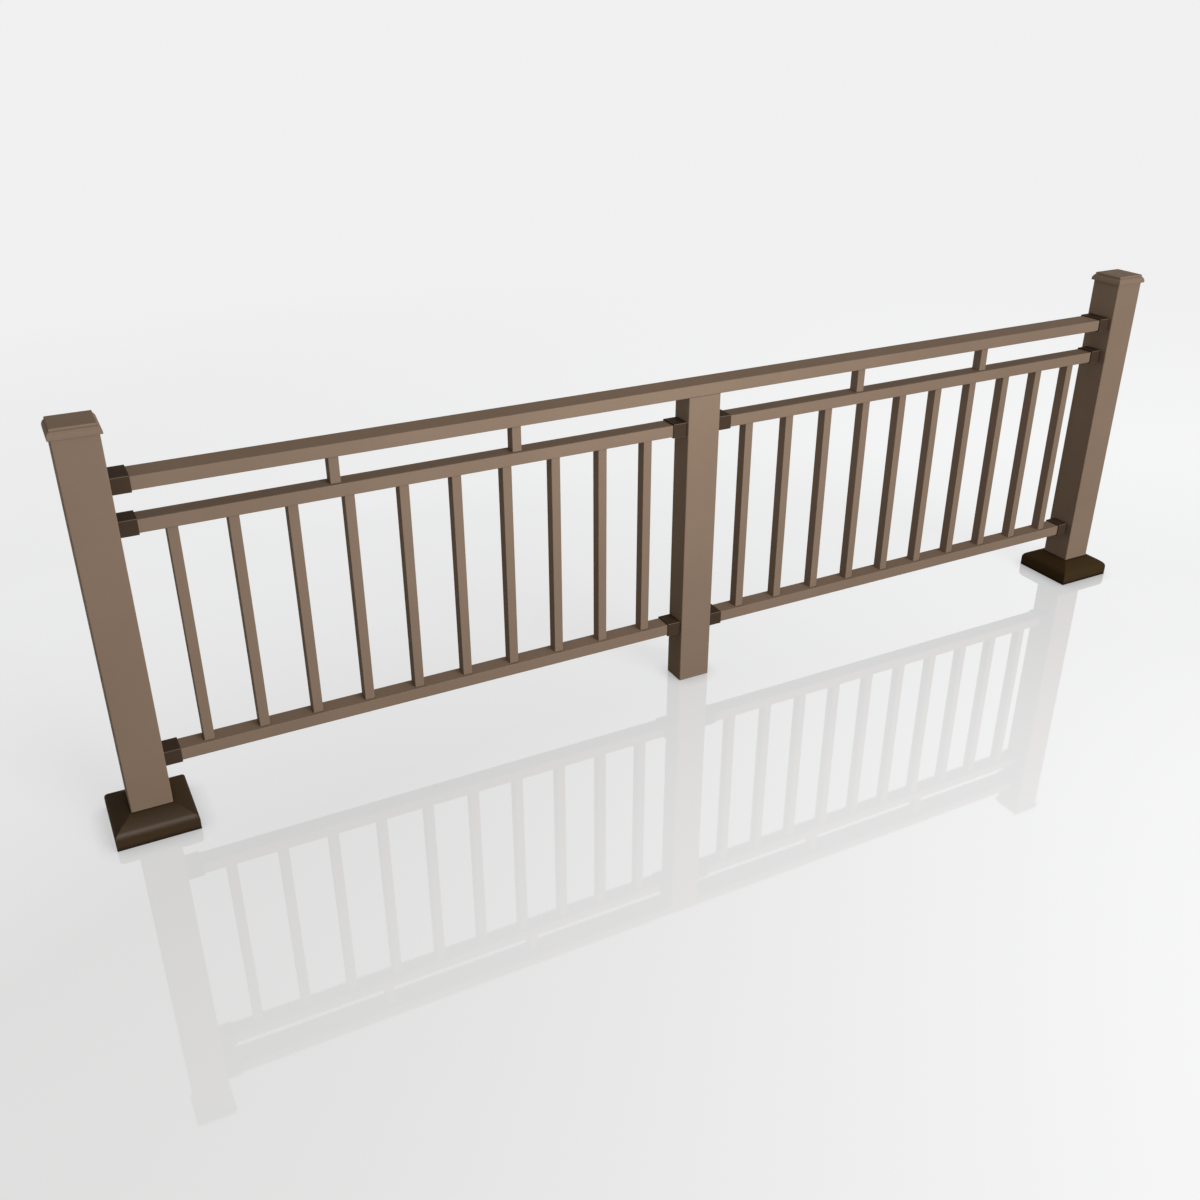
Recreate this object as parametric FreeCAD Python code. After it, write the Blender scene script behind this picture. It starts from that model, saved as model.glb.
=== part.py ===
"""Deck railing section in powder-coated tube: two capped end posts with base
skirts, a mid post, one top rail and two bays of balusters.

Millimetres. X runs along the railing, -Y is the front and Z is up. The origin
is the centre of the mid post's foot, on the deck.
"""
import math
import os

import FreeCAD
import Part
from FreeCAD import Vector

os.makedirs("parts", exist_ok=True)

# Layout: along the railing, and heights above the deck
post_spacing = 1571.0
top_rail_top = 914.0
bottom_rail_top = 195.0
post_rise = 118.0

# Posts
post_width = 100.0
post_wall = 3.0
post_corner = 3.0
base_plate_margin = 26.0
base_plate_thickness = 10.0
base_bolt_offset = 11.0
base_bolt_hole = 11.0
foot_plate_thickness = 8.0
foot_bolt_spacing = 56.0
foot_bolt_hole = 9.0
saddle_thickness = 5.0

# Rails
top_rail_depth = 73.0
lower_rail_depth = 52.0
rail_height = 33.0
rail_wall = 2.5
rail_corner = 2.0

# Balusters and the spacers above them
baluster_width = 25.4
baluster_depth = 31.8
baluster_wall = 1.6
baluster_corner = 1.5
baluster_count = 10
baluster_end_gap = 101.5
baluster_headroom = 3.0
spacer_count = 2
spacer_spacing = 474.0
spacer_height = 73.0

# Bracket sockets on the rail ends
bracket_length = 41.5
bracket_wall = 3.0
bracket_back = 5.0
bracket_corner = 2.0

# Post caps, from the rim up to the bead round the flat top
cap_overhang = 6.0
cap_lap = 8.0
cap_rim_height = 2.5
cap_shoulder_in = 6.5
cap_shoulder_height = 15.0
cap_groove_depth = 1.8
cap_groove_height = 1.6
cap_bead_setback = 0.6
cap_bead_in = 1.9
cap_bead_height = 4.9
cap_bead_round = 0.8

# Base skirts: an upright edge, a rounded shoulder and a crown that rises to the post
skirt_overhang = 50.0
skirt_edge_height = 28.0
skirt_shoulder_radius = 21.0
skirt_shoulder_turn = 55.0
skirt_crown_height = 21.0
skirt_wall = 4.0

# Clearances
seat_gap = 0.2
punch_gap = 0.3
socket_gap = 0.3
rail_end_gap = 1.0
slip_gap = 0.4

# Sizes that follow from those above
end_face = post_spacing - post_width / 2
mid_face = post_width / 2
bay_width = end_face - mid_face
post_top = top_rail_top + post_rise
top_rail_bottom = top_rail_top - rail_height
second_rail_top = top_rail_bottom - spacer_height
baluster_run = bay_width - 2 * baluster_end_gap - baluster_width
baluster_pitch = baluster_run / (baluster_count - 1)
first_baluster = mid_face + baluster_end_gap + baluster_width / 2
baluster_places = [first_baluster + baluster_pitch * i for i in range(baluster_count)]
skirt_shoulder_height = skirt_shoulder_radius * math.sin(math.radians(skirt_shoulder_turn))
skirt_height = skirt_edge_height + skirt_shoulder_height + skirt_crown_height
first_spacer = mid_face + bay_width / 2 - spacer_spacing * (spacer_count - 1) / 2
spacer_places = [first_spacer + spacer_spacing * i for i in range(spacer_count)]

origin = Vector(0, 0, 0)
up = Vector(0, 0, 1)
upright_heading = 90.0


def rounded_outline(width, depth, radius):
    """Closed rectangle with rounded corners, centred in the XY plane."""
    right = width / 2 - radius
    back = depth / 2 - radius
    centres = [(right, back), (-right, back), (-right, -back), (right, -back)]
    arcs = []
    for turn, (x, y) in enumerate(centres):
        arcs.append(Part.makeCircle(radius, Vector(x, y, 0), up, 90 * turn, 90 * turn + 90))
    edges = []
    for arc, following in zip(arcs, arcs[1:] + arcs[:1]):
        edges.append(arc)
        edges.append(Part.makeLine(arc.Vertexes[-1].Point, following.Vertexes[0].Point))
    return Part.Wire(edges)


def bar(width, depth, length, corner):
    """Solid bar standing on the XY plane."""
    return Part.Face(rounded_outline(width, depth, corner)).extrude(up * length)


def core(width, depth, length):
    """Square-edged bar standing on the XY plane, for hollows and punched holes."""
    return Part.makeBox(width, depth, length, Vector(-width / 2, -depth / 2, 0))


def tube(width, depth, length, wall, corner):
    """Hollow bar standing on the XY plane, open at both ends."""
    return bar(width, depth, length, corner).cut(core(width - 2 * wall, depth - 2 * wall, length))


def moved(shape, x=0.0, y=0.0, z=0.0):
    """Copy of a shape shifted by the given amounts."""
    copy = shape.copy()
    copy.translate(Vector(x, y, z))
    return copy


def laid_along_x(shape):
    """Copy of an upright bar turned to run along +X, its width now upright."""
    copy = shape.copy()
    copy.rotate(origin, Vector(0, 1, 0), 90)
    return copy


def on_side(shape, side):
    """A piece built on the right, or its copy turned round to the left."""
    copy = shape.copy()
    if side == "left":
        copy.rotate(origin, up, 180)
    return copy


def bulged(start, end, bulge):
    """Arc step to a point: its middle stands off the chord to the right by the bulge."""
    along = Vector(end[0] - start[0], 0, end[1] - start[1])
    off = Vector(along.z, 0, -along.x).normalize() * bulge
    middle = ((start[0] + end[0]) / 2 + off.x, (start[1] + end[1]) / 2 + off.z)
    return [middle, end]


def flowing(start, heading, end):
    """Arc step that leaves the start at a heading, in degrees from +X towards +Z, and reaches the end."""
    across = end[0] - start[0]
    rise = end[1] - start[1]
    swing = math.atan2(rise, across) - math.radians(heading)
    return bulged(start, end, math.hypot(across, rise) / 2 * math.tan(swing / 2))


def square_moulding(start, steps):
    """Solid that is square at every level. The profile goes up one side as
    (half width, height) points, with arcs as a middle and an end point. It is
    run along X and along Y, and what the two runs share has mitred corners."""
    here = Vector(start[0], 0, start[1])
    side = []
    for step in steps:
        points = [Vector(x, 0, z) for x, z in step]
        if len(points) == 1:
            side.append(Part.LineSegment(here, points[0]).toShape())
        else:
            side.append(Part.Arc(here, points[0], points[1]).toShape())
        here = points[-1]
    other_side = [edge.mirror(origin, Vector(1, 0, 0)) for edge in side]
    foot = Part.makeLine(Vector(-start[0], 0, start[1]), Vector(start[0], 0, start[1]))
    head = Part.makeLine(Vector(-here.x, 0, here.z), here)
    profile = Part.Face(Part.Wire(Part.__sortEdges__(side + other_side + [foot, head])))
    reach = 2 * start[0]
    run = profile.extrude(Vector(0, 2 * reach, 0))
    run.translate(Vector(0, -reach, 0))
    cross_run = run.copy()
    cross_run.rotate(origin, up, 90)
    return run.common(cross_run)


def base_plate():
    """Square plate under an end post, with a bolt hole outside each corner of the post."""
    width = post_width + 2 * base_plate_margin
    plate = bar(width, width, base_plate_thickness, post_corner)
    hole_place = post_width / 2 + base_bolt_offset
    for x in (-hole_place, hole_place):
        for y in (-hole_place, hole_place):
            plate = plate.cut(Part.makeCylinder(base_bolt_hole / 2, base_plate_thickness, Vector(x, y, 0)))
    return plate


def end_post():
    """Square tube welded on top of its base plate."""
    stem = tube(post_width, post_width, post_top - base_plate_thickness, post_wall, post_corner)
    return moved(stem, z=base_plate_thickness)


def mid_post():
    """Tube as deep as the top rail, closed by a foot plate and by the saddle under the rail."""
    height = top_rail_bottom - seat_gap
    outside = bar(post_width, top_rail_depth, height, post_corner)
    hollow_height = height - foot_plate_thickness - saddle_thickness
    hollow = core(post_width - 2 * post_wall, top_rail_depth - 2 * post_wall, hollow_height)
    post = outside.cut(moved(hollow, z=foot_plate_thickness))
    for x in (-foot_bolt_spacing / 2, foot_bolt_spacing / 2):
        post = post.cut(Part.makeCylinder(foot_bolt_hole / 2, foot_plate_thickness, Vector(x, 0, 0)))
    return post


def post_cap():
    """Cap with a square overhanging rim, a round shoulder, a groove and a bead round the flat top."""
    rim = post_width / 2 + cap_overhang
    shoulder_foot = (rim, cap_rim_height)
    shoulder_head = (rim - cap_shoulder_in, cap_rim_height + cap_shoulder_height)
    groove = shoulder_head[0] - cap_groove_depth
    groove_head = shoulder_head[1] + cap_groove_height
    bead_foot = (shoulder_head[0] - cap_bead_setback, groove_head)
    bead_head = (bead_foot[0] - cap_bead_in, groove_head + cap_bead_height)
    steps = [[shoulder_foot]]
    steps.append(flowing(shoulder_foot, upright_heading, shoulder_head))
    steps.append([(groove, shoulder_head[1])])
    steps.append([(groove, groove_head)])
    steps.append([bead_foot])
    steps.append(bulged(bead_foot, bead_head, cap_bead_round))
    body = square_moulding((rim, 0.0), steps)
    socket_width = post_width + 2 * slip_gap
    socket = core(socket_width, socket_width, cap_lap + seat_gap)
    return moved(body.cut(socket), z=post_top - cap_lap)


def skirt_form(inset):
    """Solid form of the skirt, drawn in all round by the inset. The edge, shoulder and crown
    run into one another without a crease."""
    edge = post_width / 2 + skirt_overhang - inset
    opening = post_width / 2 + slip_gap
    radius = skirt_shoulder_radius - inset
    turn = math.radians(skirt_shoulder_turn)
    edge_head = (edge, skirt_edge_height)
    shoulder = (edge - radius * (1 - math.cos(turn)), skirt_edge_height + radius * math.sin(turn))
    crown = (opening, skirt_height - inset)
    steps = [[edge_head]]
    steps.append(flowing(edge_head, upright_heading, shoulder))
    steps.append(flowing(shoulder, upright_heading + skirt_shoulder_turn, crown))
    return square_moulding((edge, 0.0), steps)


def skirt():
    """Hollow cover that slips over the end post and hides its base plate and bolts."""
    shell = skirt_form(0.0).cut(skirt_form(skirt_wall))
    opening = post_width + 2 * slip_gap
    return shell.cut(core(opening, opening, skirt_height))


def rail(depth, start, end, top):
    """Hollow rail along X with its top face at the given height."""
    length = laid_along_x(tube(rail_height, depth, end - start, rail_wall, rail_corner))
    return moved(length, start, 0, top - rail_height / 2)


def baluster_punches(base):
    """Blocks that cut one wall of a lower rail open for every baluster of a bay."""
    width = baluster_width + 2 * punch_gap
    depth = baluster_depth + 2 * punch_gap
    punch = core(width, depth, rail_wall)
    return Part.makeCompound([moved(punch, x, 0, base) for x in baluster_places])


def bracket(depth, x, top, facing):
    """Socket on a post face at x, open towards the rail that it holds."""
    room = 2 * socket_gap
    wall = 2 * bracket_wall
    block = bar(rail_height + room + wall, depth + room + wall, bracket_length, bracket_corner)
    pocket = core(rail_height + room, depth + room, bracket_length - bracket_back)
    socket = laid_along_x(block.cut(moved(pocket, z=bracket_back)))
    if facing < 0:
        socket.rotate(origin, up, 180)
    return moved(socket, x + facing * seat_gap, 0, top - rail_height / 2)


def baluster(x):
    """Upright tube standing in the bottom rail and held by the second rail's punched wall."""
    foot = bottom_rail_top - rail_height + rail_wall + seat_gap
    head = second_rail_top - rail_wall - baluster_headroom
    upright = tube(baluster_width, baluster_depth, head - foot, baluster_wall, baluster_corner)
    return moved(upright, x, 0, foot)


def spacers():
    """Short tubes in both bays that carry the top rail on the second rails."""
    block = tube(baluster_width, baluster_depth, spacer_height - 2 * seat_gap, baluster_wall, baluster_corner)
    places = [side * place for side in (-1, 1) for place in spacer_places]
    return Part.makeCompound([moved(block, x, 0, second_rail_top + seat_gap) for x in places])


def save(name, shape):
    """Writes one piece, after checking that it is sound."""
    if not shape.isValid() or shape.Volume <= 0:
        raise ValueError(name + " is not a sound solid")
    shape.exportStep("parts/" + name + ".step")


rail_setback = seat_gap + bracket_back + rail_end_gap
rail_start = mid_face + rail_setback
rail_end = end_face - rail_setback
second_rail_bottom = second_rail_top - rail_height

plate = moved(base_plate(), post_spacing)
post = moved(end_post(), post_spacing)
cap = moved(post_cap(), post_spacing)
cover = moved(skirt(), post_spacing)
second_rail = rail(lower_rail_depth, rail_start, rail_end, second_rail_top)
second_rail = second_rail.cut(baluster_punches(second_rail_bottom))
bottom_rail = rail(lower_rail_depth, rail_start, rail_end, bottom_rail_top)
bottom_rail = bottom_rail.cut(baluster_punches(bottom_rail_top - rail_wall))

save("mid_post", mid_post())
save("spacers", spacers())
save("top_rail", rail(top_rail_depth, -rail_end, rail_end, top_rail_top))
for side in ("left", "right"):
    save(side + "_base_plate", on_side(plate, side))
    save(side + "_end_post", on_side(post, side))
    save(side + "_cap", on_side(cap, side))
    save(side + "_skirt", on_side(cover, side))
    save(side + "_second_rail", on_side(second_rail, side))
    save(side + "_bottom_rail", on_side(bottom_rail, side))
    save(side + "_top_bracket", on_side(bracket(top_rail_depth, end_face, top_rail_top, -1), side))
    for level, top in (("second", second_rail_top), ("bottom", bottom_rail_top)):
        outer = bracket(lower_rail_depth, end_face, top, -1)
        inner = bracket(lower_rail_depth, mid_face, top, 1)
        save(side + "_" + level + "_outer_bracket", on_side(outer, side))
        save(side + "_" + level + "_inner_bracket", on_side(inner, side))
    for number, place in enumerate(baluster_places, 1):
        save(side + "_baluster_%02d" % number, on_side(baluster(place), side))
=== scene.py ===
import math

import bpy
from bpy.props import FloatProperty, FloatVectorProperty, IntProperty, PointerProperty
from bpy.types import Operator, Panel, PropertyGroup
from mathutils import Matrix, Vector


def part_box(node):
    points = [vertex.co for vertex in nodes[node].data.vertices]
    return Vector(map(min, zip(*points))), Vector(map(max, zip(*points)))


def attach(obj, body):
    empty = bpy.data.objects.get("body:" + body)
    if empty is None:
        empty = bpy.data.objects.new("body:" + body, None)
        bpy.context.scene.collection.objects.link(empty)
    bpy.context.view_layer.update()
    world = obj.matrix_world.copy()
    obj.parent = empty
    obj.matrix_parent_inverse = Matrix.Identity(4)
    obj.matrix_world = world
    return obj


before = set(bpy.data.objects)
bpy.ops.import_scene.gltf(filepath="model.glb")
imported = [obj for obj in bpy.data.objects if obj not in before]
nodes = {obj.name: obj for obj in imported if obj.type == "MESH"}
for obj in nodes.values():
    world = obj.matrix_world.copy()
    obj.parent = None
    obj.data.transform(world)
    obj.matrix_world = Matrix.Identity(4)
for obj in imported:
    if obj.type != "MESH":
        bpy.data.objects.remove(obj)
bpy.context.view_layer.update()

bl_info = {
    "name": "Deck railing section",
    "version": (1, 0, 0),
    "blender": (4, 5, 0),
    "location": "View3D > Sidebar > Railing",
    "description": "Finishes a deck railing section and sets it in a pale studio",
    "category": "Object",
}

# Roughness of each finish, at its smoothest and at its roughest.
TUBE_FINISH = (0.44, 0.54)
CAP_FINISH = (0.42, 0.52)
BRACKET_FINISH = (0.38, 0.46)
SKIRT_FINISH = (0.50, 0.56)
SCREW_FINISH = (0.30, 0.40)

# Specular level of the paint, low because the whole studio is white and would grey it.
PAINT_SHINE = 0.005
SKIRT_SHINE = 0.01

# Radius in metres to which the coat's thickness softens an edge.
PAINT_SOFTNESS = 0.0012
SKIRT_SOFTNESS = 0.005
SOFTNESS_SAMPLES = 6

# Slow patterns of the paint: repeats in a metre, detail, roughness, and the span of values that is used.
TONE = {"scale": 3.1, "detail": 4.0, "roughness": 0.55}
TONE_SPAN = (0.36, 0.64)
GLOSS = {"scale": 38.0, "detail": 5.0, "roughness": 0.6}
GLOSS_SPAN = (0.3, 0.7)

# Fine relief of the paint: repeats of the draw lines in a metre along X, Y and Z, detail and strength.
UPRIGHT_LINES = (260.0, 260.0, 5.0)
RAIL_LINES = (5.0, 260.0, 260.0)
LINE_DETAIL = 3.0
LINE_STRENGTH = 0.25
DIMPLE_DETAIL = 2.0
DIMPLE_STRENGTH = 0.45

# Largest part of a normal along one axis, from where an edge starts to turn to where it has turned, which
# spans the painted highlight on the brackets' edges.
EDGE_SPAN = (0.995, 0.92)

# Openness of a surface: samples, and for the painted shade where the skirts meet the posts the reach in
# metres and the span.
OPENNESS_SAMPLES = 8
JOINT_SHADE_REACH = 0.02
JOINT_SHADE_SPAN = (0.9, 0.5)

# Screws: distance from the bracket's middle as a share of its depth, and the head's rim and recess
# as shares of its sizes.
SCREW_SPREAD = 0.25
RIM_SHARE = 0.45
RIM_SEGMENTS = 4
RECESS_BORDER = 0.3
RECESS_DEPTH = 0.55

# Z of a normal below which a face points straight down, and the angle up to which shading is smooth.
STRAIGHT_DOWN = -0.99
SMOOTH_ANGLE = math.radians(35.0)

# Floor: size in metres, and how far it lies below the railing, so that the two don't share a plane.
FLOOR_RADIUS = 150.0
FLOOR_SIDES = 96
FLOOR_DROP = 0.0005

# Mirror of the floor: blur, refraction, steepness, and the steepened value at which its share is full.
MIRROR_BLUR = 0.03
MIRROR_IOR = 1.5
MIRROR_STEEPNESS = 1.4
MIRROR_FULL = 0.063

# Glow of the floor: tint, the way in which it rises, the spot that its reach is measured from, and
# the spans in metres over which it changes.
GLOW_TINT = (0.965, 0.98, 1.0, 1.0)
GLOW_WAY = (0.887, -0.462, 0.0)
GLOW_SPOT = (-0.28, -3.44, 0.0)
NEAR_SPAN = (-1.3, 1.9)
BACK_SPAN = (-2.4, 1.6)
NEAR_TO_BACK = (3.4, 5.2)
BACK_TO_FAR = (5.0, 9.0)
FRONT_TO_FAR = (-3.2, -5.2)

# Shade of the floor round the feet: reach in metres, span of openness, and the darkest share.
CONTACT_REACH = 0.05
CONTACT_SPAN = (0.5, 1.0)
CONTACT_SHADE = 0.70

# Lamps: where they stand, what they face, and their width and depth, in metres. The key lamp stands
# at a distance from the middle, turned to the right by its bearing and upwards by its rise.
MIDDLE = Vector((0.0, 0.0, 0.5))
KEY_BEARING = math.radians(18.0)
KEY_RISE = math.radians(16.0)
KEY_DISTANCE = 11.0
KEY_SIZE = (6.0, 6.0)
TOP_PLACE = Vector((0.0, 0.0, 4.5))
TOP_SIZE = (6.0, 3.0)
BACK_PLACE = Vector((0.0, 11.0, 2.0))
BACK_SIZE = (6.0, 2.0)
FILL_PLACE = Vector((-0.20, -0.80, 0.95))
FILL_AIM = Vector((-0.20, 0.0, 1.20))
FILL_SIZE = (1.5, 0.1)
SHINE_PLACE = Vector((-2.20, -2.65, 2.05))
SHINE_SIZE = (2.4, 2.4)

# Colour of the backdrop.
BACKDROP_TINT = (1.0, 1.0, 1.0, 1.0)

# Camera: width of the sensor in millimetres, and the reach of its view in metres.
SENSOR = 36.0
VIEW_REACH = 400.0


class RailingPaint(PropertyGroup):
    """Colours and texture of the paint."""

    brown: FloatVectorProperty(
        name="Brown", description="Paint of the posts, caps, rails and balusters",
        subtype="COLOR", size=4, min=0.0, max=1.0, default=(0.240, 0.174, 0.129, 1.0))
    brown_drift: FloatVectorProperty(
        name="Brown drift", description="Second tone that the brown paint drifts towards",
        subtype="COLOR", size=4, min=0.0, max=1.0, default=(0.226, 0.163, 0.120, 1.0))
    bronze: FloatVectorProperty(
        name="Bronze", description="Paint of the brackets and their screws",
        subtype="COLOR", size=4, min=0.0, max=1.0, default=(0.062, 0.042, 0.029, 1.0))
    bronze_drift: FloatVectorProperty(
        name="Bronze drift", description="Second tone that the bronze paint drifts towards",
        subtype="COLOR", size=4, min=0.0, max=1.0, default=(0.055, 0.037, 0.025, 1.0))
    skirt: FloatVectorProperty(
        name="Skirt", description="Paint of the base skirts",
        subtype="COLOR", size=4, min=0.0, max=1.0, default=(0.049, 0.030, 0.0135, 1.0))
    skirt_drift: FloatVectorProperty(
        name="Skirt drift", description="Second tone that the skirts' paint drifts towards",
        subtype="COLOR", size=4, min=0.0, max=1.0, default=(0.044, 0.026, 0.0120, 1.0))
    # Painted highlight: a lighter bronze laid along the brackets' rounded edges, where a lamp's highlight
    # falls.
    bronze_edge_highlight: FloatVectorProperty(
        name="Worn bronze", description="Tone of the bronze paint along rubbed edges",
        subtype="COLOR", size=4, min=0.0, max=1.0, default=(0.150, 0.113, 0.084, 1.0))
    # Painted shade: a near-black tone laid on the skirts close to the posts, where shade falls.
    joint_shade: FloatVectorProperty(
        name="Joint", description="Dark tone of the skirts' paint close to the posts",
        subtype="COLOR", size=4, min=0.0, max=1.0, default=(0.010, 0.006, 0.003, 1.0))
    texture_size: FloatProperty(
        name="Texture size", description="Width of one dimple of the powder coat",
        unit="LENGTH", min=0.0005, max=0.01, default=0.0018)
    texture_depth: FloatProperty(
        name="Texture depth", description="Depth of the powder coat's dimples",
        unit="LENGTH", min=0.0, max=0.001, default=0.00005)


class RailingScrews(PropertyGroup):
    """Sizes of the screws under the brackets."""

    head_radius: FloatProperty(
        name="Head radius", description="Radius of a screw head",
        unit="LENGTH", min=0.001, max=0.01, default=0.0042)
    head_height: FloatProperty(
        name="Head height", description="How far a screw head stands off the bracket",
        unit="LENGTH", min=0.0005, max=0.005, default=0.0019)
    sides: IntProperty(
        name="Sides", description="Sides of the round head", min=12, max=64, default=28)


class RailingStage(PropertyGroup):
    """Camera, floor and lamps."""

    camera_place: FloatVectorProperty(
        name="Camera place", description="Where the camera stands",
        subtype="XYZ", unit="LENGTH", size=3, default=(-1.7015, -2.6858, 1.8687))
    camera_aim: FloatVectorProperty(
        name="Camera aim", description="Direction in which the camera looks",
        subtype="DIRECTION", size=3, default=(0.41122, 0.78919, -0.45616))
    lens: FloatProperty(
        name="Lens", description="Focal length on a 36 mm sensor",
        unit="CAMERA", min=10.0, max=200.0, default=36.0)
    key_power: FloatProperty(
        name="Key lamp", description="Power of the large lamp in front",
        unit="POWER", min=0.0, max=9000.0, default=1001.0)
    shine_power: FloatProperty(
        name="Shine lamp", description="Power of the lamp seen only as a highlight on the left skirt",
        unit="POWER", min=0.0, max=9000.0, default=5600.0)
    fill_power: FloatProperty(
        name="Fill lamp", description="Power of the long soft lamp close in front, as high as the rails",
        unit="POWER", min=0.0, max=90.0, default=3.0)
    shine_tint: FloatVectorProperty(
        name="Shine tint", description="Colour of the shine lamp",
        subtype="COLOR", size=3, min=0.0, max=1.0, default=(1.0, 0.92, 0.84))
    top_power: FloatProperty(
        name="Top lamp", description="Power of the soft lamp overhead",
        unit="POWER", min=0.0, max=900.0, default=21.0)
    back_power: FloatProperty(
        name="Back lamp", description="Power of the lamp that fills the back of the railing",
        unit="POWER", min=0.0, max=9000.0, default=520.0)
    sky: FloatProperty(
        name="Sky", description="Strength of the even light all round", min=0.0, max=2.0, default=0.25)
    sky_tint: FloatVectorProperty(
        name="Sky tint", description="Colour of the even light all round",
        subtype="COLOR", size=4, min=0.0, max=1.0, default=(1.0, 0.90, 0.74, 1.0))
    backdrop: FloatProperty(
        name="Backdrop", description="Brightness of the far floor and the background",
        subtype="FACTOR", min=0.0, max=1.0, default=0.875)
    floor_matt: FloatProperty(
        name="Matt floor", description="Share of the light that the floor scatters, which shows the shadow",
        subtype="FACTOR", min=0.0, max=1.0, default=0.36)
    floor_shine: FloatProperty(
        name="Floor shine", description="Share of mirror in the floor where it is seen at a low angle",
        subtype="FACTOR", min=0.0, max=1.0, default=0.42)
    floor_dim: FloatProperty(
        name="Dim side", description="Glow of the floor on the left",
        subtype="FACTOR", min=0.0, max=1.0, default=0.595)
    floor_bright: FloatProperty(
        name="Bright side", description="Glow of the floor on the right",
        subtype="FACTOR", min=0.0, max=1.0, default=0.815)
    back_dim: FloatProperty(
        name="Dim back", description="Glow of the floor behind the railing, on the left",
        subtype="FACTOR", min=0.0, max=1.0, default=0.805)
    back_bright: FloatProperty(
        name="Bright back", description="Glow of the floor behind the railing, on the right",
        subtype="FACTOR", min=0.0, max=1.0, default=0.945)


def only(*pieces):
    """Makes these the only selected objects, the last of them active."""
    bpy.ops.object.select_all(action="DESELECT")
    for piece in pieces:
        piece.select_set(True)
    bpy.context.view_layer.objects.active = pieces[-1]


def select_underside(piece):
    """In edit mode, selects just the faces that point straight down."""
    bpy.ops.mesh.select_mode(type="FACE")
    bpy.ops.mesh.select_all(action="DESELECT")
    bpy.ops.object.mode_set(mode="OBJECT")
    for face in piece.data.polygons:
        face.select = face.normal.z < STRAIGHT_DOWN
    bpy.ops.object.mode_set(mode="EDIT")


def shader(name):
    """New material with an empty node tree; returns it with its tree and its output node."""
    material = bpy.data.materials.new(name)
    material.use_nodes = True
    tree = material.node_tree
    tree.nodes.clear()
    return material, tree, tree.nodes.new("ShaderNodeOutputMaterial")


def noise(tree, place, scale, detail, roughness=0.5):
    """Noise texture read at the given coordinates."""
    texture = tree.nodes.new("ShaderNodeTexNoise")
    texture.inputs["Scale"].default_value = scale
    texture.inputs["Detail"].default_value = detail
    texture.inputs["Roughness"].default_value = roughness
    tree.links.new(place, texture.inputs["Vector"])
    return texture.outputs["Fac"]


def ranged(tree, value, low, high, start, end):
    """Maps a value that runs from low to high onto start to end."""
    mapping = tree.nodes.new("ShaderNodeMapRange")
    for socket, number in zip(("From Min", "From Max", "To Min", "To Max"), (low, high, start, end)):
        mapping.inputs[socket].default_value = number
    tree.links.new(value, mapping.inputs["Value"])
    return mapping.outputs["Result"]


def largest(tree, first, *others):
    """Largest of several values."""
    for other in others:
        larger = tree.nodes.new("ShaderNodeMath")
        larger.operation = "MAXIMUM"
        tree.links.new(first, larger.inputs[0])
        tree.links.new(other, larger.inputs[1])
        first = larger.outputs["Value"]
    return first


def product(tree, first, second):
    """Two values multiplied."""
    both = tree.nodes.new("ShaderNodeMath")
    both.operation = "MULTIPLY"
    tree.links.new(first, both.inputs[0])
    tree.links.new(second, both.inputs[1])
    return both.outputs["Value"]


def seen_directly(tree):
    """1 for rays from the camera and for mirror or see-through rays, 0 for the light on matt surfaces."""
    path = tree.nodes.new("ShaderNodeLightPath").outputs
    return largest(tree, path["Is Camera Ray"], path["Is Glossy Ray"], path["Is Transmission Ray"])


def mixed(tree, factor, first, second):
    """Colour that goes from the first, a colour or a socket, to the second as the factor rises."""
    mix = tree.nodes.new("ShaderNodeMix")
    mix.data_type = "RGBA"
    if isinstance(first, bpy.types.NodeSocket):
        tree.links.new(first, mix.inputs["A"])
    else:
        mix.inputs["A"].default_value = first
    mix.inputs["B"].default_value = second
    tree.links.new(factor, mix.inputs["Factor"])
    return mix.outputs["Result"]


def bumped(tree, height, strength, distance, under=None):
    """Bump from a height, laid over an earlier bump if there is one."""
    bump = tree.nodes.new("ShaderNodeBump")
    bump.inputs["Strength"].default_value = strength
    bump.inputs["Distance"].default_value = distance
    tree.links.new(height, bump.inputs["Height"])
    if under is not None:
        tree.links.new(under, bump.inputs["Normal"])
    return bump.outputs["Normal"]


def rounded_edges(tree):
    """1 where the surface turns between two flat faces, 0 on the faces."""
    size = tree.nodes.new("ShaderNodeVectorMath")
    size.operation = "ABSOLUTE"
    tree.links.new(tree.nodes.new("ShaderNodeNewGeometry").outputs["True Normal"], size.inputs[0])
    parts = tree.nodes.new("ShaderNodeSeparateXYZ")
    tree.links.new(size.outputs["Vector"], parts.inputs["Vector"])
    most = largest(tree, *parts.outputs)
    return ranged(tree, most, *EDGE_SPAN, 0.0, 1.0)


def openness(tree, distance):
    """1 in the open, less where other surfaces stand close by."""
    shade = tree.nodes.new("ShaderNodeAmbientOcclusion")
    shade.samples = OPENNESS_SAMPLES
    shade.inputs["Distance"].default_value = distance
    return shade.outputs["AO"]


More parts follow.
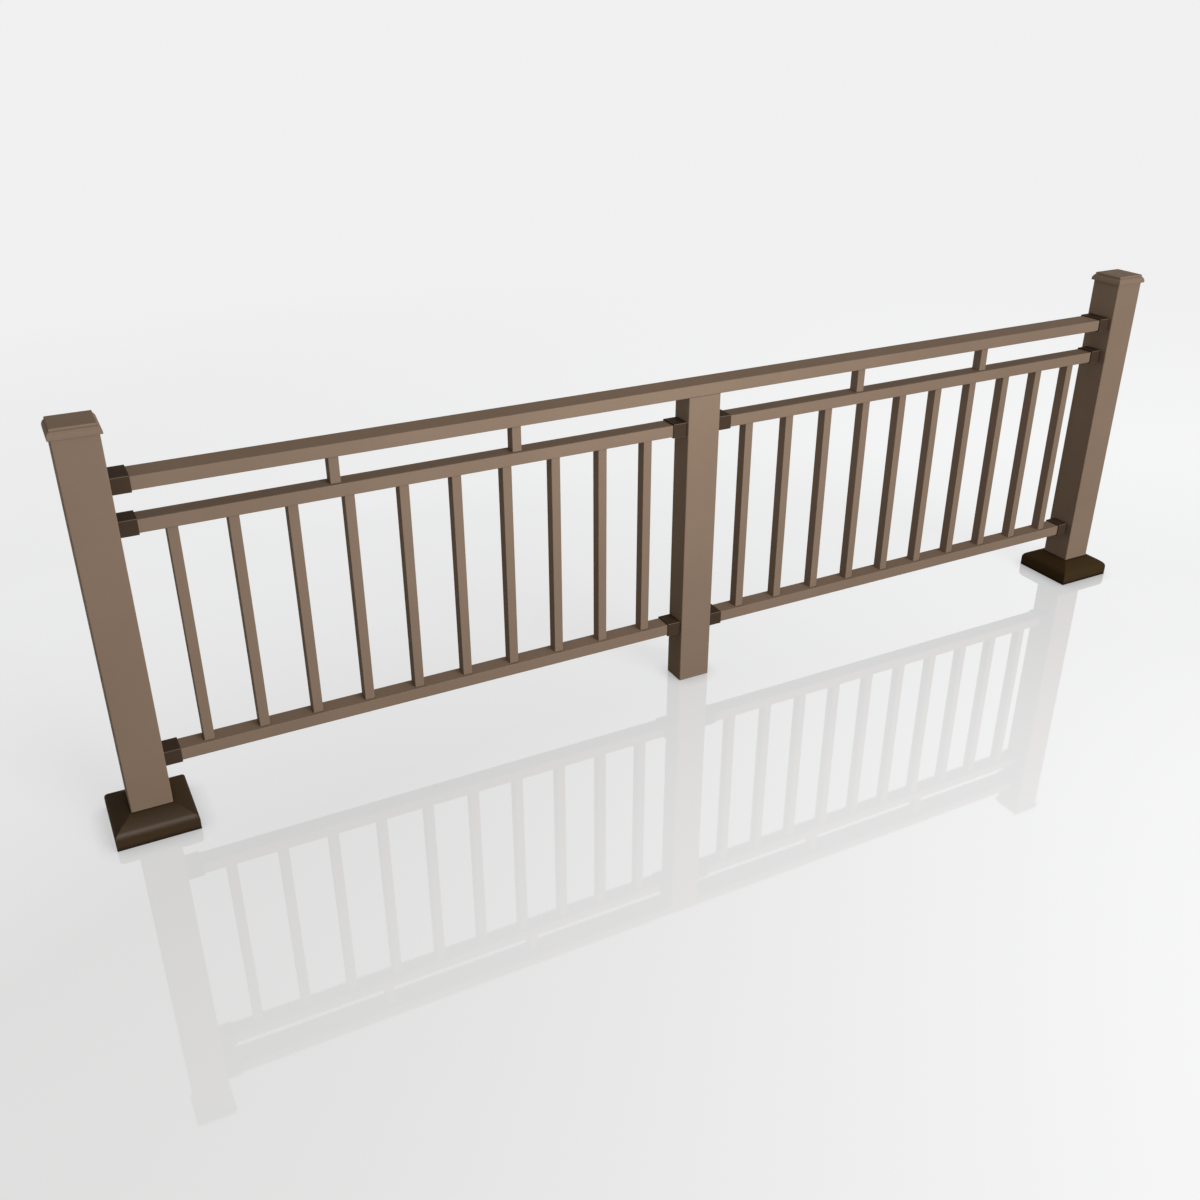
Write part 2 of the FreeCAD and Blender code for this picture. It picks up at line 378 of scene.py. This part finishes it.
def powder_coat(name, colour, drift, paint, finish, draw_lines=None,
                shine=PAINT_SHINE, softness=PAINT_SOFTNESS, edge_highlight=None, joint_shade=None):
    """Paint on metal: slow drift of tone, dimpled texture, and edges softened by the coat's thickness.
    Where they are given, it has faint lines along the way the tube was drawn, a painted highlight along
    rounded edges, and painted shade where other surfaces stand close."""
    material, tree, output = shader(name)
    surface = tree.nodes.new("ShaderNodeBsdfPrincipled")
    surface.inputs["Metallic"].default_value = 0.0
    surface.inputs["Specular IOR Level"].default_value = shine
    place = tree.nodes.new("ShaderNodeTexCoord").outputs["Object"]
    dimples = noise(tree, place, 1.0 / paint.texture_size, DIMPLE_DETAIL)
    tone = noise(tree, place, **TONE)
    tint = mixed(tree, ranged(tree, tone, *TONE_SPAN, 0.0, 1.0), colour, drift)
    # Painted highlight: the rounded edges are lightened towards the highlight colour.
    if edge_highlight is not None:
        tint = mixed(tree, rounded_edges(tree), tint, edge_highlight)
    # Painted shade: the colour darkens where other surfaces stand close, as round the foot of each post.
    if joint_shade is not None:
        joint_shade_amount = ranged(tree, openness(tree, JOINT_SHADE_REACH), *JOINT_SHADE_SPAN, 0.0, 1.0)
        tint = mixed(tree, joint_shade_amount, tint, joint_shade)
    tree.links.new(tint, surface.inputs["Base Color"])
    gloss = noise(tree, place, **GLOSS)
    tree.links.new(ranged(tree, gloss, *GLOSS_SPAN, *finish), surface.inputs["Roughness"])
    rounded = tree.nodes.new("ShaderNodeBevel")
    rounded.samples = SOFTNESS_SAMPLES
    rounded.inputs["Radius"].default_value = softness
    normal = rounded.outputs["Normal"]
    if draw_lines is not None:
        stretch = tree.nodes.new("ShaderNodeMapping")
        stretch.inputs["Scale"].default_value = draw_lines
        tree.links.new(place, stretch.inputs["Vector"])
        lines = noise(tree, stretch.outputs["Vector"], 1.0, LINE_DETAIL)
        normal = bumped(tree, lines, LINE_STRENGTH, paint.texture_depth, normal)
    normal = bumped(tree, dimples, DIMPLE_STRENGTH, paint.texture_depth, normal)
    tree.links.new(normal, surface.inputs["Normal"])
    tree.links.new(surface.outputs["BSDF"], output.inputs["Surface"])
    return material


def coat(material, *names):
    """Gives CAD nodes a material in place of their plain one."""
    for name in names:
        piece = nodes[name]
        piece.data.materials.clear()
        piece.data.materials.append(material)


def named(*words):
    """CAD node names that hold one of these words."""
    return [name for name in nodes if any(word in name for word in words)]


class RAILING_OT_paint_uprights(Operator):
    """Paint the posts with their base plates, the balusters and the spacers, with the draw lines upright"""

    bl_idname = "railing.paint_uprights"
    bl_label = "Paint uprights"

    def execute(self, context):
        paint = context.scene.railing_paint
        material = powder_coat(
            "upright_brown", paint.brown, paint.brown_drift, paint, TUBE_FINISH, UPRIGHT_LINES)
        coat(material, *named("post", "base_plate", "baluster", "spacers"))
        return {"FINISHED"}


class RAILING_OT_paint_rails(Operator):
    """Paint the rails brown, with the draw lines along the railing"""

    bl_idname = "railing.paint_rails"
    bl_label = "Paint rails"

    def execute(self, context):
        paint = context.scene.railing_paint
        material = powder_coat(
            "rail_brown", paint.brown, paint.brown_drift, paint, TUBE_FINISH, RAIL_LINES)
        coat(material, *named("rail"))
        return {"FINISHED"}


class RAILING_OT_paint_caps(Operator):
    """Paint the cast post caps brown, with no draw lines"""

    bl_idname = "railing.paint_caps"
    bl_label = "Paint caps"

    def execute(self, context):
        paint = context.scene.railing_paint
        material = powder_coat("cap_brown", paint.brown, paint.brown_drift, paint, CAP_FINISH)
        coat(material, *named("cap"))
        return {"FINISHED"}


class RAILING_OT_paint_fittings(Operator):
    """Paint the brackets and base skirts dark bronze, with a painted highlight on the brackets' edges and
    painted shade where the skirts meet the posts
    """

    bl_idname = "railing.paint_fittings"
    bl_label = "Paint fittings"

    def execute(self, context):
        paint = context.scene.railing_paint
        # The brackets get a painted highlight on their edges, the skirts painted shade close to the posts.
        bracket = powder_coat(
            "bracket_bronze", paint.bronze, paint.bronze_drift, paint, BRACKET_FINISH,
            edge_highlight=paint.bronze_edge_highlight)
        coat(bracket, *named("bracket"))
        skirt = powder_coat(
            "skirt_bronze", paint.skirt, paint.skirt_drift, paint, SKIRT_FINISH,
            shine=SKIRT_SHINE, softness=SKIRT_SOFTNESS, joint_shade=paint.joint_shade)
        coat(skirt, *named("skirt"))
        return {"FINISHED"}


class RAILING_OT_bracket_screws(Operator):
    """Put two pan-head screws under every bracket"""

    bl_idname = "railing.bracket_screws"
    bl_label = "Bracket screws"

    def execute(self, context):
        screws = context.scene.railing_screws
        first = self.screw(screws)
        copies = []
        for name in named("bracket"):
            low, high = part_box(name)
            middle = (low + high) / 2
            spread = (high.y - low.y) * SCREW_SPREAD
            for y in (-spread, spread):
                only(first)
                bpy.ops.object.duplicate(linked=False)
                copy = context.view_layer.objects.active
                bpy.ops.transform.translate(value=(middle.x, y, low.z))
                copies.append(copy)
        only(first)
        bpy.ops.object.delete()
        only(*copies)
        bpy.ops.object.join()
        row = context.view_layer.objects.active
        bpy.ops.object.transform_apply(location=True, rotation=True, scale=True)
        row.name = "bracket_screws"
        bpy.ops.object.shade_smooth_by_angle(angle=SMOOTH_ANGLE)
        paint = context.scene.railing_paint
        row.data.materials.clear()
        row.data.materials.append(
            powder_coat("screw_bronze", paint.bronze, paint.bronze_drift, paint, SCREW_FINISH))
        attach(row, "root")
        return {"FINISHED"}

    def screw(self, screws):
        """One head hanging under the origin, with a rounded rim and a round recess."""
        bpy.ops.object.select_all(action="DESELECT")
        bpy.ops.mesh.primitive_cylinder_add(
            vertices=screws.sides, radius=screws.head_radius, depth=screws.head_height,
            location=(0.0, 0.0, -screws.head_height / 2))
        head = bpy.context.view_layer.objects.active
        bpy.ops.object.transform_apply(location=True, rotation=True, scale=True)
        bpy.ops.object.mode_set(mode="EDIT")
        select_underside(head)
        bpy.ops.mesh.bevel(
            offset=screws.head_height * RIM_SHARE, segments=RIM_SEGMENTS, affect="EDGES")
        select_underside(head)
        bpy.ops.mesh.inset(thickness=screws.head_radius * RECESS_BORDER)
        bpy.ops.mesh.extrude_region_move(
            TRANSFORM_OT_translate={"value": (0.0, 0.0, screws.head_height * RECESS_DEPTH)})
        bpy.ops.mesh.select_all(action="SELECT")
        bpy.ops.mesh.normals_make_consistent(inside=False)
        bpy.ops.object.mode_set(mode="OBJECT")
        return head


class RAILING_OT_stage(Operator):
    """Set out the floor, the lamps, the sky and the camera"""

    bl_idname = "railing.stage"
    bl_label = "Studio stage"

    def execute(self, context):
        stage = context.scene.railing_stage
        self.floor(stage)
        self.lamps(stage)
        self.sky(context, stage)
        self.camera(context, stage)
        context.scene.view_settings.view_transform = "Standard"
        return {"FINISHED"}

    def floor(self, stage):
        """Pale floor with a faint mirror, brighter to the right, and even far away."""
        bpy.ops.object.select_all(action="DESELECT")
        bpy.ops.mesh.primitive_circle_add(
            vertices=FLOOR_SIDES, radius=FLOOR_RADIUS, fill_type="NGON", location=(0.0, 0.0, -FLOOR_DROP))
        floor = bpy.context.view_layer.objects.active
        floor.name = "studio_floor"
        bpy.ops.object.transform_apply(location=True, rotation=True, scale=True)
        floor.data.materials.append(self.floor_paint(stage))

    def floor_paint(self, stage):
        """Matt and mirror near the railing, an even glow further off, and clear from below."""
        material, tree, output = shader("floor_paint")
        place = tree.nodes.new("ShaderNodeTexCoord").outputs["Object"]
        matt = tree.nodes.new("ShaderNodeBsdfDiffuse")
        matt.inputs["Color"].default_value = (stage.floor_matt, stage.floor_matt, stage.floor_matt, 1.0)
        glow = tree.nodes.new("ShaderNodeEmission")
        glow.inputs["Color"].default_value = GLOW_TINT
        tree.links.new(self.floor_glow(tree, place, stage), glow.inputs["Strength"])
        lit = tree.nodes.new("ShaderNodeAddShader")
        tree.links.new(matt.outputs["BSDF"], lit.inputs[0])
        tree.links.new(glow.outputs["Emission"], lit.inputs[1])
        mirror = tree.nodes.new("ShaderNodeBsdfAnisotropic")
        mirror.inputs["Roughness"].default_value = MIRROR_BLUR
        glance = tree.nodes.new("ShaderNodeFresnel")
        glance.inputs["IOR"].default_value = MIRROR_IOR
        steeper = tree.nodes.new("ShaderNodeMath")
        steeper.operation = "POWER"
        steeper.inputs[1].default_value = MIRROR_STEEPNESS
        tree.links.new(glance.outputs["Fac"], steeper.inputs[0])
        share = ranged(tree, steeper.outputs["Value"], 0.0, MIRROR_FULL, 0.0, stage.floor_shine)
        near = tree.nodes.new("ShaderNodeMixShader")
        tree.links.new(product(tree, share, seen_directly(tree)), near.inputs["Fac"])
        tree.links.new(lit.outputs["Shader"], near.inputs[1])
        tree.links.new(mirror.outputs["BSDF"], near.inputs[2])
        even = tree.nodes.new("ShaderNodeEmission")
        even.inputs["Strength"].default_value = stage.backdrop
        whole = tree.nodes.new("ShaderNodeMixShader")
        far_back = ranged(tree, self.reach(tree, place), *BACK_TO_FAR, 0.0, 1.0)
        far = largest(tree, far_back, self.well_in_front(tree, place))
        tree.links.new(far, whole.inputs["Fac"])
        tree.links.new(near.outputs["Shader"], whole.inputs[1])
        tree.links.new(even.outputs["Emission"], whole.inputs[2])
        clear = tree.nodes.new("ShaderNodeBsdfTransparent")
        sided = tree.nodes.new("ShaderNodeMixShader")
        tree.links.new(tree.nodes.new("ShaderNodeNewGeometry").outputs["Backfacing"], sided.inputs["Fac"])
        tree.links.new(whole.outputs["Shader"], sided.inputs[1])
        tree.links.new(clear.outputs["BSDF"], sided.inputs[2])
        tree.links.new(sided.outputs["Shader"], output.inputs["Surface"])
        return material

    def reach(self, tree, place):
        """Distance along the floor from a spot in front, to the right of the camera."""
        reach = tree.nodes.new("ShaderNodeVectorMath")
        reach.operation = "DISTANCE"
        reach.inputs[1].default_value = GLOW_SPOT
        tree.links.new(place, reach.inputs[0])
        return reach.outputs["Value"]

    def well_in_front(self, tree, place):
        """1 on the floor under the key lamp, 0 near the railing."""
        parts = tree.nodes.new("ShaderNodeSeparateXYZ")
        tree.links.new(place, parts.inputs["Vector"])
        return ranged(tree, parts.outputs["Y"], *FRONT_TO_FAR, 0.0, 1.0)

    def floor_glow(self, tree, place, stage):
        """Glow that is seen directly or in a reflection, rising from left to right and towards the back."""
        across = tree.nodes.new("ShaderNodeVectorMath")
        across.operation = "DOT_PRODUCT"
        across.inputs[1].default_value = GLOW_WAY
        tree.links.new(place, across.inputs[0])
        side = ranged(tree, across.outputs["Value"], *NEAR_SPAN, stage.floor_dim, stage.floor_bright)
        side.node.interpolation_type = "SMOOTHSTEP"
        back = ranged(tree, across.outputs["Value"], *BACK_SPAN, stage.back_dim, stage.back_bright)
        glow = tree.nodes.new("ShaderNodeMix")
        tree.links.new(ranged(tree, self.reach(tree, place), *NEAR_TO_BACK, 0.0, 1.0), glow.inputs["Factor"])
        tree.links.new(side, glow.inputs["A"])
        tree.links.new(back, glow.inputs["B"])
        shade = ranged(tree, openness(tree, CONTACT_REACH), *CONTACT_SPAN, CONTACT_SHADE, 1.0)
        return product(tree, product(tree, glow.outputs["Result"], shade), seen_directly(tree))

    def lamps(self, stage):
        """Soft lamps in front, overhead and behind, and one that shows only as a highlight on a skirt."""
        key_place = Vector((
            KEY_DISTANCE * math.cos(KEY_RISE) * math.sin(KEY_BEARING),
            -KEY_DISTANCE * math.cos(KEY_RISE) * math.cos(KEY_BEARING),
            KEY_DISTANCE * math.sin(KEY_RISE) + MIDDLE.z))
        self.lamp("key_lamp", key_place, MIDDLE, KEY_SIZE, stage.key_power)
        top = self.lamp("top_lamp", TOP_PLACE, MIDDLE, TOP_SIZE, stage.top_power)
        back = self.lamp("back_lamp", BACK_PLACE, MIDDLE, BACK_SIZE, stage.back_power)
        fill = self.lamp("fill_lamp", FILL_PLACE, FILL_AIM, FILL_SIZE, stage.fill_power)
        shine = self.lamp("shine_lamp", SHINE_PLACE, MIDDLE, SHINE_SIZE, stage.shine_power)
        self.shine_on((top,), [nodes[name] for name in nodes if "bracket" not in name])
        self.shine_on((back, fill), nodes.values())
        self.shine_on((shine,), [nodes["left_skirt"]])
        shine.data.color = stage.shine_tint
        shine.visible_glossy = True
        shine.visible_diffuse = False

    def shine_on(self, lamps, pieces):
        """Lets these lamps light these pieces and nothing else."""
        lit = bpy.data.collections.new("lit_by_" + lamps[0].name)
        for piece in pieces:
            lit.objects.link(piece)
        for lamp in lamps:
            lamp.light_linking.receiver_collection = lit

    def lamp(self, name, place, aim, size, power):
        """Rectangular lamp that faces the place that it aims at."""
        bpy.ops.object.light_add(type="AREA", location=place)
        lamp = bpy.context.view_layer.objects.active
        lamp.name = name
        lamp.data.shape = "RECTANGLE"
        lamp.data.size, lamp.data.size_y = size
        lamp.data.energy = power
        lamp.rotation_mode = "QUATERNION"
        lamp.rotation_quaternion = (aim - place).to_track_quat("-Z", "Y")
        lamp.visible_glossy = False
        return lamp

    def sky(self, context, stage):
        """Even light all round, seen by the camera as the pale backdrop."""
        world = bpy.data.worlds.new("studio_sky")
        world.use_nodes = True
        tree = world.node_tree
        tree.nodes.clear()
        background = tree.nodes.new("ShaderNodeBackground")
        seen = seen_directly(tree)
        tree.links.new(mixed(tree, seen, stage.sky_tint, BACKDROP_TINT), background.inputs["Color"])
        strength = ranged(tree, seen, 0.0, 1.0, stage.sky, stage.backdrop)
        tree.links.new(strength, background.inputs["Strength"])
        output = tree.nodes.new("ShaderNodeOutputWorld")
        tree.links.new(background.outputs["Background"], output.inputs["Surface"])
        context.scene.world = world

    def camera(self, context, stage):
        """Camera at the viewing angle of the picture."""
        bpy.ops.object.camera_add(location=stage.camera_place)
        camera = bpy.context.view_layer.objects.active
        camera.name = "picture_camera"
        camera.rotation_mode = "QUATERNION"
        camera.rotation_quaternion = Vector(stage.camera_aim).to_track_quat("-Z", "Y")
        camera.data.sensor_width = SENSOR
        camera.data.lens = stage.lens
        camera.data.clip_end = VIEW_REACH
        context.scene.camera = camera


class RAILING_PT_panel(Panel):
    """Lists the steps in the order in which they run"""

    bl_label = "Deck railing"
    bl_idname = "RAILING_PT_panel"
    bl_space_type = "VIEW_3D"
    bl_region_type = "UI"
    bl_category = "Railing"

    def draw(self, context):
        layout = self.layout
        for operator in steps:
            layout.operator(operator.bl_idname)
        for group in (context.scene.railing_paint, context.scene.railing_screws, context.scene.railing_stage):
            box = layout.box()
            for key in group.__annotations__:
                box.prop(group, key)


steps = (
    RAILING_OT_paint_uprights,
    RAILING_OT_paint_rails,
    RAILING_OT_paint_caps,
    RAILING_OT_paint_fittings,
    RAILING_OT_bracket_screws,
    RAILING_OT_stage,
)
classes = (RailingPaint, RailingScrews, RailingStage) + steps + (RAILING_PT_panel,)


def register():
    for kind in classes:
        bpy.utils.register_class(kind)
    bpy.types.Scene.railing_paint = PointerProperty(type=RailingPaint)
    bpy.types.Scene.railing_screws = PointerProperty(type=RailingScrews)
    bpy.types.Scene.railing_stage = PointerProperty(type=RailingStage)


def unregister():
    del bpy.types.Scene.railing_stage
    del bpy.types.Scene.railing_screws
    del bpy.types.Scene.railing_paint
    for kind in reversed(classes):
        bpy.utils.unregister_class(kind)


def main():
    register()
    bpy.ops.railing.paint_uprights()
    bpy.ops.railing.paint_rails()
    bpy.ops.railing.paint_caps()
    bpy.ops.railing.paint_fittings()
    bpy.ops.railing.bracket_screws()
    bpy.ops.railing.stage()


if __name__ == "__main__":
    main()
